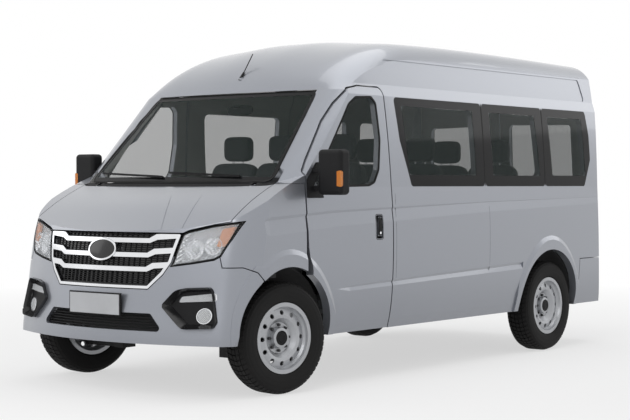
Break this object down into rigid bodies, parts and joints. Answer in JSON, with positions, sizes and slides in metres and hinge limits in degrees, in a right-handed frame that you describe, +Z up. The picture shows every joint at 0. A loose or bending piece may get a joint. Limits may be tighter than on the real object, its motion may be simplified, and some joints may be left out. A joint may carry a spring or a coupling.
{
  "type": "minibus",
  "caption": "Silver panel-sided minibus with short bonnet, domed roof, side glass band, hinged doors, sprung bonnet panel, steered front wheels and row seats.",
  "frame": {"origin": "on the ground under the middle of the overall box", "axes": "+Z up, -Y towards the front of the vehicle, +X towards the vehicle's left"},
  "size_m": [2.422, 4.8646, 2.345],
  "materials": {
    "paint": "metallic silver gloss",
    "glass": "tinted, polished",
    "black_plastic": "grained black",
    "grille_chrome": "bright bars before a black mesh",
    "clear_lamp": "clear moulded lens",
    "red_lamp": "red moulded lens",
    "chassis_black": "satin black underseal",
    "floor_paint": "primer grey",
    "engine_iron": "cast",
    "interior_plastic": "soft grained dark grey",
    "seat_fabric": "woven dark grey",
    "tyre_rubber": "matt rubber",
    "wheel_steel": "silver wheel paint"
  },
  "bodies": {
    "body": {"bulkhead": "floor_paint", "chassis_frame": "chassis_black", "cowl": "black_plastic", "dashboard": "interior_plastic", "engine": "engine_iron", "exhaust": "chassis_black", "fenders": "paint", "floor_pan": "floor_paint", "fog_lamps": "clear_lamp", "front_bumper": "paint", "front_panel": "black_plastic", "front_seats": "seat_fabric", "front_subframe": "chassis_black", "fuel_tank": "black_plastic", "grille": "grille_chrome", "headlamps": "clear_lamp", "rear_axle": "chassis_black", "rear_bumper": "paint", "rear_seats": "seat_fabric", "roof": "paint", "side_glass": "glass", "side_panel_left": "paint", "side_panel_right": "paint", "sliding_door": "paint", "tail_lamps": "red_lamp", "wheel_arch_liners": "black_plastic", "windscreen": "glass", "wipers": "black_plastic"},
    "front_door_left": {"front_door_left": "paint", "door_glass_left": "glass", "mirror_left": "black_plastic"},
    "front_door_right": {"front_door_right": "paint", "door_glass_right": "glass", "mirror_right": "black_plastic"},
    "rear_door_left": {"rear_door_left": "paint", "rear_glass_left": "glass"},
    "rear_door_right": {"rear_door_right": "paint", "rear_glass_right": "glass"},
    "bonnet": {"bonnet": "paint"},
    "knuckle_left": {"knuckle_left": "chassis_black"},
    "knuckle_right": {"knuckle_right": "chassis_black"},
    "steering_rack": {"steering_rack": "chassis_black"},
    "steering_wheel": {"steering_wheel": "interior_plastic"},
    "wheel_front_left": {"tyre_front_left": "tyre_rubber", "rim_front_left": "wheel_steel"},
    "wheel_front_right": {"tyre_front_right": "tyre_rubber", "rim_front_right": "wheel_steel"},
    "wheel_rear_left": {"tyre_rear_left": "tyre_rubber", "rim_rear_left": "wheel_steel"},
    "wheel_rear_right": {"tyre_rear_right": "tyre_rubber", "rim_rear_right": "wheel_steel"}
  },
  "joints": [
    {"name": "front_door_left_hinge", "type": "hinge", "parent": "body", "child": "front_door_left", "pos_m": [0.955, -1.4725, 1], "axis": [0, 0, -1], "range_deg": [0, 68]},
    {"name": "front_door_right_hinge", "type": "hinge", "parent": "body", "child": "front_door_right", "pos_m": [-0.955, -1.4725, 1], "axis": [0, 0, 1], "range_deg": [0, 68]},
    {"name": "rear_door_left_hinge", "type": "hinge", "parent": "body", "child": "rear_door_left", "pos_m": [0.806, 2.38991, 1], "axis": [0, 0.04, -0.9992], "range_deg": [0, 180]},
    {"name": "rear_door_right_hinge", "type": "hinge", "parent": "body", "child": "rear_door_right", "pos_m": [-0.806, 2.38991, 1], "axis": [0, -0.04, 0.9992], "range_deg": [0, 180]},
    {"name": "bonnet_hinge", "type": "hinge", "parent": "body", "child": "bonnet", "pos_m": [0, -1.6875, 1.292], "axis": [-1, 0, 0], "range_deg": [0, 50]},
    {"name": "steer_left", "type": "hinge", "parent": "body", "child": "knuckle_left", "pos_m": [0.815, -1.6875, 0.3495], "axis": [0, 0, 1], "range_deg": [-26.65, 43.35]},
    {"name": "steer_right", "type": "hinge", "parent": "body", "child": "knuckle_right", "pos_m": [-0.815, -1.6875, 0.3495], "axis": [0, 0, 1], "range_deg": [-26.65, 43.35]},
    {"name": "rack_slide", "type": "slide", "parent": "body", "child": "steering_rack", "axis": [1, 0, 0], "range_m": [-0.107, 0.066]},
    {"name": "steering_wheel_turn", "type": "hinge", "parent": "body", "child": "steering_wheel", "pos_m": [0.4, -1.23272, 1.10195], "axis": [0, 0.8051, 0.5932], "range_deg": [-428, 695]},
    {"name": "wheel_front_left_spin", "type": "hinge", "parent": "knuckle_left", "child": "wheel_front_left", "pos_m": [0.86645, -1.69505, 0.3495], "axis": [0.9894, -0.1452, 0], "continuous": true},
    {"name": "wheel_rear_left_spin", "type": "hinge", "parent": "body", "child": "wheel_rear_left", "pos_m": [0.867, 1.5125, 0.3495], "axis": [1, 0, 0], "continuous": true},
    {"name": "wheel_front_right_spin", "type": "hinge", "parent": "knuckle_right", "child": "wheel_front_right", "pos_m": [-0.86645, -1.67995, 0.3495], "axis": [0.9894, -0.1452, 0], "continuous": true},
    {"name": "wheel_rear_right_spin", "type": "hinge", "parent": "body", "child": "wheel_rear_right", "pos_m": [-0.867, 1.5125, 0.3495], "axis": [1, 0, 0], "continuous": true}
  ],
  "couplings": [
    {"joint": "steer_right", "follows": "steer_left", "ratio": 1},
    {"joint": "rack_slide", "follows": "steer_left", "m_per_rad": -0.14},
    {"joint": "steering_wheel_turn", "follows": "steer_left", "ratio": 16}
  ]
}
